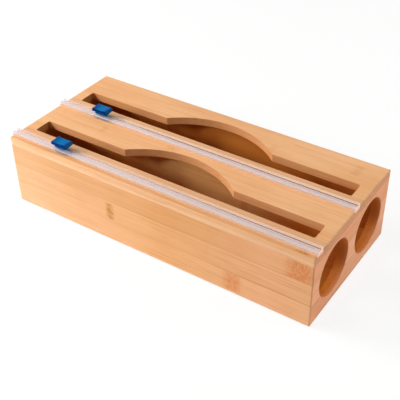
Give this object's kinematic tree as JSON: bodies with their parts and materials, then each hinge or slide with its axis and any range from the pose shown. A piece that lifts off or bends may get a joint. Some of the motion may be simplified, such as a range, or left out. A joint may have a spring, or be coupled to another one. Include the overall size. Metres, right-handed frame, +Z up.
{
  "type": "kitchen film dispenser",
  "caption": "Low bamboo box that holds film or foil rolls, put in through round holes in one end, with slots in its top and blue cutters that slide along clear rails.",
  "frame": {"origin": "on the table, under the middle of the box", "axes": "+X along the box towards the end with the roll holes, +Y to the rear, +Z up"},
  "size_m": [0.34, 0.151, 0.0901],
  "materials": {
    "bamboo": "satin, fine straight grain",
    "dowel_wood": "plain",
    "clear_plastic": "clear, slightly milky",
    "blue_plastic": "gloss",
    "white_tape": "matte",
    "steel": "ground",
    "grey_rubber": "matte"
  },
  "bodies": {
    "box": {"top_panel": "bamboo", "front_panel": "bamboo", "rear_panel": "bamboo", "left_end_panel": "bamboo", "right_end_panel": "bamboo", "bottom_panel": "bamboo", "centre_divider": "bamboo", "top_dowels": "dowel_wood", "divider_dowels": "dowel_wood", "anti_slip_feet": "grey_rubber", "front_rail": "clear_plastic", "front_rail_tape": "white_tape", "front_rail_end_stops": "clear_plastic", "rear_rail": "clear_plastic", "rear_rail_tape": "white_tape", "rear_rail_end_stops": "clear_plastic"},
    "front_cutter": {"front_cutter_grip": "blue_plastic", "front_cutter_shoe": "blue_plastic", "front_cutter_blade": "steel"},
    "rear_cutter": {"rear_cutter_grip": "blue_plastic", "rear_cutter_shoe": "blue_plastic", "rear_cutter_blade": "steel"}
  },
  "joints": [
    {"name": "front_cutter_slide", "type": "slide", "parent": "box", "child": "front_cutter", "axis": [1, 0, 0], "range_m": [-0.0461, 0.2623]},
    {"name": "rear_cutter_slide", "type": "slide", "parent": "box", "child": "rear_cutter", "axis": [1, 0, 0], "range_m": [-0.0388, 0.2696]}
  ]
}
